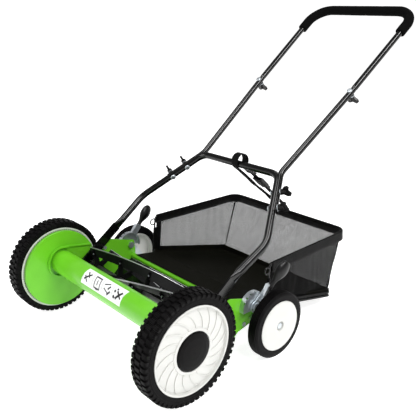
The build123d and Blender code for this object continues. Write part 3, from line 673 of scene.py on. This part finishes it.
def matchedLine(points, radius, counts):
    # a bent line whose straights and arcs have the same number of runs on every line made with these counts
    points = [Vector(p) for p in points]
    line = [points[0]]
    straight, arc = counts
    for i in (1, 2):
        back = (points[i - 1] - points[i]).normalized()
        ahead = (points[i + 1] - points[i]).normalized()
        half = back.angle(ahead) / 2
        reach = radius / math.tan(half)
        centre = points[i] + (back + ahead).normalized() * radius / math.sin(half)
        first, last = points[i] + back * reach, points[i] + ahead * reach
        begin = line[-1]
        line += [begin.lerp(first, k / straight[i - 1]) for k in range(1, straight[i - 1] + 1)]
        line += [centre + turnedTo(first - centre, last - centre, k / arc) for k in range(1, arc + 1)]
    begin = line[-1]
    line += [begin.lerp(points[-1], k / straight[2]) for k in range(1, straight[2] + 1)]
    return line


def catcherWalls():
    inset, start = catcher["inset"], catcher["wallStart"]
    topX, topY = catcher["rimRear"][0] - inset, catcher["rimRear"][1] - inset
    footX, footY = wallX(catcher["baseRear"][0]) - inset, catcher["baseRear"][0] - 0.0018
    high = catcher["wallStartHigh"]
    rise = catcher["wallLow"]
    top = mirrored([(wallX(high) - inset, high, catcher["wallTop"]), (topX, topY, catcher["wallTop"])])
    low = mirrored([(wallX(start) - inset, start, baseHeight(start) + rise),
                    (footX, footY, baseHeight(footY) + rise)])
    counts = ((44, 64, 44), 8)  # runs along each straight, and round each corner
    topLine = matchedLine(top, 0.030 - inset, counts)
    lowLine = matchedLine(low, 0.016 - inset, counts)
    rows = 22
    points = []
    for r in range(rows):
        for i, (a, b) in enumerate(zip(topLine, lowLine)):
            share = r / (rows - 1)
            spot = a.lerp(b, share)
            free = math.sin(math.pi * share) * min(1.0, min(i, len(topLine) - 1 - i) / 6)
            swell = 0.0022 * noise.noise(spot * 14) + 0.0009 * noise.noise(spot * 46)
            outward = Vector((spot.x, max(0.0, spot.y - 0.45) * 1.6, 0)).normalized()
            points.append(place(*(spot + outward * swell * free)))
    columns = len(topLine)
    faces = gridFaces(rows, columns)
    piece = makePiece("catcher_netting", points, faces, "catcher", "side_mesh")
    piece.data.materials.append(finishes["back_mesh"])
    for polygon in piece.data.polygons:
        column = polygon.index % (columns - 1)
        polygon.material_index = 1 if 48 <= column < columns - 49 else 0
    sewn = [r * columns + c for r in range(rows) for c in range(columns)
            if r in (0, rows - 1) or c in (0, columns - 1)]
    drape(piece, sewn, {"mass": 0.12, "stiff": 20, "bend": 0.6, "slack": 0.012, "frames": 22,
                        "most": 0.007})
    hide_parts("catcher_side_left", "catcher_side_right", "catcher_back")
    run = sum((b - a).length for a, b in zip(topLine, topLine[1:]))
    return piece, rows, columns


def cornerSeams(walls, rows, columns):
    # a narrow strip of netting sewn down each back corner, and a wider tape down each front edge
    points, faces = [], []
    for middle, reach in ((48, 0.4), (columns - 49, 0.4), (1.3, 1.3), (columns - 2.3, 1.3)):
        start = len(points)
        for r in range(rows):
            for offset in (-1.0, -0.5, 0.0, 0.5, 1.0):
                c = middle + offset * reach
                low, high = math.floor(c), math.ceil(c)
                a = walls.data.vertices[r * columns + low].co
                b = walls.data.vertices[r * columns + high].co
                spot = a.lerp(b, c - low)
                inward = Vector((-spot.x, place(0, 0.45, 0).y - spot.y, 0)).normalized()
                points.append(spot + inward * (0.0006 + 0.0007 * (1 - offset * offset)))
        faces += gridFaces(rows, 5, start=start)
    piece = makePiece("catcher_corner_seams", points, faces, "catcher", "tape")
    piece.data.materials.append(finishes["side_mesh"])
    for polygon in piece.data.polygons:
        polygon.material_index = 1 if polygon.index < len(faces) / 2 else 0
    thickness = piece.modifiers.new("thickness", "SOLIDIFY")
    thickness.thickness = 0.0005


def catcherFloor():
    # the sides are turned up against the netting, and so is the back
    first, last = catcher["flapStart"], 0.5800
    fold = catcher["baseFront"][0] + 0.004
    turnUp, bend, above = 0.016, 4, 0.0036
    stations = [(first + (fold - first) * k / 10, 0.0) for k in range(10)]
    stations += [(fold + (last - fold) * k / 42, 0.0) for k in range(43)]
    stations += [(last + 0.0022 * k / bend, turnUp * (k / bend) ** 1.6) for k in range(1, bend + 1)]
    middle = 61
    columns = middle + 2 * bend
    points = []
    for y, up in stations:
        flap = y < fold
        half = 0.216 if flap else wallX(y) - 0.0062
        if flap:
            share = (y - first) / (fold - first)
            height = catcher["flapHeight"]
            height += (baseHeight(fold) + above - catcher["flapHeight"]) * share
        else:
            height = baseHeight(min(y, last)) + above + up
        for c in range(columns):
            side = max(bend - c, c - (columns - 1 - bend), 0)
            x = half * max(-1.0, min(1.0, 2 * (c - bend) / (middle - 1) - 1))
            spot = Vector((x, y, height))
            edge = min(1.0, (1 - abs(x) / half) * 8)
            edge *= min(1.0, max(0.0, y - fold) * 20, max(0.0, last - y) * 20)
            spot.z += edge * (0.0012 * noise.noise(spot * 17) - 0.0022)
            if side:
                spot.x += math.copysign(0.0019 * side / bend, x)
            if side and not flap:
                turnedUp = turnUp * (side / bend) ** 1.6
                spot.z = max(spot.z, baseHeight(min(y, last)) + above + turnedUp)
            points.append(place(*spot))
    rows = len(stations)
    faces = gridFaces(rows, columns)
    piece = makePiece("catcher_floor", points, faces, "catcher", "base_cloth")
    sewn = [r * columns + c for r in range(rows) for c in range(columns)
            if r <= 10 or r >= rows - 1 - bend or c <= bend or c >= columns - 1 - bend]
    drape(piece, sewn, {"mass": 0.3, "stiff": 25, "bend": 1.5, "slack": 0.006, "frames": 22, "most": 0.006})
    thickness = piece.modifiers.new("thickness", "SOLIDIFY")
    thickness.thickness = 0.0006
    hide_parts("catcher_base")


def foldedTape(line, section, start):
    # a strip bent round a wire; the section is given square to the wire, towards the outside and up
    points = []
    for spot, ahead in zip(line, directions(line)):
        out = ahead.cross(Vector((0, 0, 1))).normalized()
        up = out.cross(ahead).normalized()
        for side, rise in section:
            wave = 0.0005 * noise.noise(spot * 40) * min(1.0, abs(rise) / 0.01)
            points.append(place(*(spot + out * (side + wave) + up * rise)))
    return points, gridFaces(len(line), len(section), start=start)


def rimTape():
    tape = {"round": 0.0034, "inner": -0.0046, "outer": -0.0018, "drop": 0.0245, "start": 0.314}
    section = [(tape["inner"], -tape["drop"]), (tape["inner"] + 0.0004, -0.018), (-0.0038, -0.009)]
    for k in range(9):
        turn = math.pi * (1 - k / 8)
        section.append((tape["round"] * math.cos(turn), tape["round"] * math.sin(turn)))
    section += [(0.0024, -0.009), (0.0002, -0.018), (tape["outer"], -tape["drop"])]
    height = catcher["rimHeight"]
    route = mirrored([(wallX(tape["start"]), tape["start"], height), (*catcher["rimRear"], height)])
    route = [Vector(p) for p in reversed(route)]
    line = roundedLine(route, [0.03, 0.03], 0.006)
    points, faces = foldedTape(line, section, 0)
    postSection = ((0.0095, -0.0008), (0.004, 0.0030), (0.0, 0.0034), (-0.0024, 0.0024), (-0.0034, 0.0),
                   (-0.0024, -0.0024), (0.0, -0.0034), (0.0095, -0.0038))
    foot = Vector((wallX(catcher["baseFront"][0]), *catcher["baseFront"]))
    head = Vector((*catcher["rimFront"], height))
    climb = (head - foot).normalized()
    for sign in (1, -1):
        start = len(points)
        for k in range(15):
            spot = foot + climb * (0.008 + 0.068 * k / 14)
            for back, side in postSection:
                points.append(place(sign * (spot.x + side), spot.y + back, spot.z))
        faces += gridFaces(15, 8, start=start)
    piece = makePiece("catcher_rim_tape", points, faces, "catcher", "tape")
    thickness = piece.modifiers.new("thickness", "SOLIDIFY")
    thickness.thickness = 0.0007
    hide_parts("catcher_binding")
    length = sum((b - a).length for a, b in zip(line, line[1:]))
    return line


def footSleeve():
    # tape folded round the lower wire, along both sides and the back
    radius = 0.0032
    foot = (wallX(catcher["baseRear"][0]), *catcher["baseRear"])
    first = (wallX(0.306), 0.306, baseHeight(0.306))
    route = [Vector(p) for p in reversed(mirrored([first, foot]))]
    line = roundedLine(route, [0.016, 0.016], 0.006)
    section = [(-0.0020, 0.0130), (-0.0016, 0.0070), (0.0004, 0.0032)]
    for degrees in range(60, -181, -30):
        turn = math.radians(degrees)
        section.append((radius * math.cos(turn), radius * math.sin(turn)))
    points, faces = foldedTape(line, section, 0)
    piece = makePiece("catcher_foot_tape", points, faces, "catcher", "tape")
    length = sum((b - a).length for a, b in zip(line, line[1:]))


def rimStitches(line):
    # a row of lock stitches near the lower edge of the tape, inside and outside
    stitch = {"every": 0.0046, "length": 0.0030, "thick": 0.00035}
    points, faces = [], []
    dense = evenly(line, stitch["every"])
    for spot, ahead in zip(dense, directions(dense)):
        out = ahead.cross(Vector((0, 0, 1))).normalized()
        for side in (-0.0052, 0.0002):
            centre = spot + out * side + Vector((0, 0, -0.0205))
            start = len(points)
            ring = [out * stitch["thick"], Vector((0, 0, stitch["thick"])),
                    out * -stitch["thick"], Vector((0, 0, -stitch["thick"]))]
            for along in (-0.5, -0.3, 0.3, 0.5):
                size = 0.35 if abs(along) == 0.5 else 1.0
                points += [place(*(centre + ahead * along * stitch["length"] + r * size)) for r in ring]
            faces += gridFaces(4, 4, wrapColumns=True, start=start)
            faces += [[start + k for k in (3, 2, 1, 0)], [start + 12 + k for k in (0, 1, 2, 3)]]
    makePiece("catcher_stitches", points, faces, "catcher", "thread")


walls, wallRows, wallColumns = catcherWalls()
cornerSeams(walls, wallRows, wallColumns)
catcherFloor()
footSleeve()
rimStitches(rimTape())
print("catcher cloth")

# Strap: a loop of webbing over the cross bar and under the hook bar.
strap = {"x": -0.004, "half": 0.0125, "thick": 0.0013, "bar": 0.453, "hookBack": 0.0105,
         "hookHeight": 0.220}


def webStrap():
    bar = onHandle(strap["x"], strap["bar"])
    hook = place(strap["x"], catcher["rimRear"][1] - strap["hookBack"], strap["hookHeight"])
    drop = (hook - bar).normalized()
    side = Vector((0, -drop.z, drop.y))
    frontLow, frontHigh = hook - side * 0.006, bar - side * 0.0109
    rearLow, rearHigh = hook + side * 0.006, bar + Vector((0, 0.025, -0.008))
    line = [frontLow.lerp(frontHigh, k / 60) for k in range(60)]
    line += arcThrough(frontHigh, bar + Vector((0, 0.003, 0.027)), rearHigh, 26)
    line += [rearHigh.lerp(rearLow, k / 60) for k in range(1, 60)]
    line += arcThrough(rearLow, hook + drop * 0.006, frontLow, 10)[:-1]
    section = []
    for k in range(12):
        turn = 2 * math.pi * k / 12
        across = math.copysign(abs(math.cos(turn)) ** 0.35, math.cos(turn)) * strap["half"]
        section.append((across, math.sin(turn) * strap["thick"] / 2))
    ahead = [(line[(i + 1) % len(line)] - line[i - 1]).normalized() for i in range(len(line))]
    points = []
    for i, (spot, heading) in enumerate(zip(line, ahead)):
        up = Vector((1, 0, 0)).cross(heading).normalized()
        free = math.sin(math.pi * min(i, 60) / 60)
        ripple = 0.0011 * free * math.sin(i * 0.21) + 0.0005 * free * math.sin(i * 0.55)
        for across, rise in section:
            cup = 0.0004 * free * (across / strap["half"]) ** 2
            points.append(spot + Vector((across, 0, 0)) + up * (rise + ripple + cup))
    faces = gridFaces(len(line), len(section), wrapRows=True, wrapColumns=True)
    piece = makePiece("strap_webbing", points, faces, "handle", "webbing")
    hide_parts("strap")
    length = sum((b - a).length for a, b in zip(line, line[1:]))


def arcThrough(first, middle, last, count):
    # points on the circle through three points
    a, b = middle - first, last - first
    normal = a.cross(b)
    reach = normal.cross(a) * b.length_squared + b.cross(normal) * a.length_squared
    centre = first + reach / (2 * normal.length_squared)
    start = first - centre
    axis = normal.normalized()
    whole = signedAngle(start, last - centre, axis)
    if signedAngle(start, middle - centre, axis) > whole:
        whole -= 2 * math.pi
    other = axis.cross(start)
    return [centre + start * math.cos(whole * k / count) + other * math.sin(whole * k / count)
            for k in range(count + 1)]


def signedAngle(a, b, axis):
    return math.atan2(a.cross(b).dot(axis), a.dot(b)) % (2 * math.pi)


webStrap()
print("strap")


def softLight(name, spot, target, size, power, run=None):
    # a round soft box, or a long one when it is given the direction of its length
    light = bpy.data.lights.new(name, "AREA")
    light.energy = power
    facing = (Vector(spot) - Vector(target)).normalized()
    if run is None:
        light.shape, light.size = "DISK", size
        turn = facing.to_track_quat("Z", "Y").to_matrix()
    else:
        light.shape, light.size, light.size_y = "RECTANGLE", *size
        along = Vector(run)
        along = (along - facing * along.dot(facing)).normalized()
        turn = Matrix((along.cross(facing), along, facing)).transposed()
    lamp = bpy.data.objects.new(name, light)
    lamp.location = spot
    lamp.rotation_euler = turn.to_euler()
    bpy.context.scene.collection.objects.link(lamp)


def studio():
    # a white floor that fades into a white band at the horizon, with a dimmer ceiling above
    world = bpy.data.worlds.new("paleStudio")
    world.use_nodes = True
    tree = world.node_tree
    background = tree.nodes["Background"]
    background.inputs[1].default_value = 1.0
    coordinates = tree.nodes.new("ShaderNodeTexCoord")
    split = tree.nodes.new("ShaderNodeSeparateXYZ")
    ramp = tree.nodes.new("ShaderNodeValToRGB")
    for element, (position, level) in zip(ramp.color_ramp.elements, ((0.06, 1.1), (0.3, 0.2))):
        element.position = position
        element.color = (level, level, level, 1.0)
    tree.links.new(coordinates.outputs["Generated"], split.inputs[0])
    tree.links.new(split.outputs[2], ramp.inputs[0])
    tree.links.new(ramp.outputs[0], background.inputs[0])
    bpy.context.scene.world = world
    floorMesh = bpy.data.meshes.new("floor")
    floorMesh.from_pydata([(-30, -30, 0), (30, -30, 0), (30, 30, 0), (-30, 30, 0)], [], [(0, 1, 2, 3)])
    floor = bpy.data.objects.new("floor", floorMesh)
    bpy.context.scene.collection.objects.link(floor)
    pale = Shader("paleFloor")
    finish = pale.finish(baseColor=(0.8, 0.8, 0.8), roughness=0.9, specularIorLevel=0.1,
                         emissionColor=(1.0, 1.0, 1.0), emissionStrength=0.86)
    floorMesh.materials.append(finish)
    softLight("key", (-1.3, -2.6, 2.0), (0, 0, 0.2), 1.3, 26)
    softLight("strip", (1.55, 0.05, 2.4), (0.17, 0.1, 0.45), (0.34, 2.3), 68, (-0.75, 1.75, 0.0))
    softLight("top", (-0.2, -0.5, 2.6), (0.0, 0.0, 0.1), 1.2, 22)
    softLight("back", (-1.2, 2.4, 2.2), (0, 0, 0.3), 1.4, 12)
    bpy.context.scene.view_settings.view_transform = "Standard"


def camera():
    view = {"azimuth": 48.18, "elevation": 18.83, "spot": (1.08363, -0.68822, 0.80829),
            "lens": 50.906, "shift": (0.0215, -0.0120)}
    eye = bpy.data.cameras.new("eye")
    eye.lens = view["lens"]
    eye.sensor_width = 36.0
    eye.shift_x, eye.shift_y = view["shift"]
    eye.clip_end = 200.0
    holder = bpy.data.objects.new("eye", eye)
    turn, rise = math.radians(view["azimuth"]), math.radians(view["elevation"])
    back = Vector((math.sin(turn) * math.cos(rise), -math.cos(turn) * math.cos(rise), math.sin(rise)))
    holder.location = place(*view["spot"])
    holder.rotation_euler = back.to_track_quat("Z", "Y").to_euler()
    bpy.context.scene.collection.objects.link(holder)
    bpy.context.scene.camera = holder


studio()
camera()
print("studio and camera")
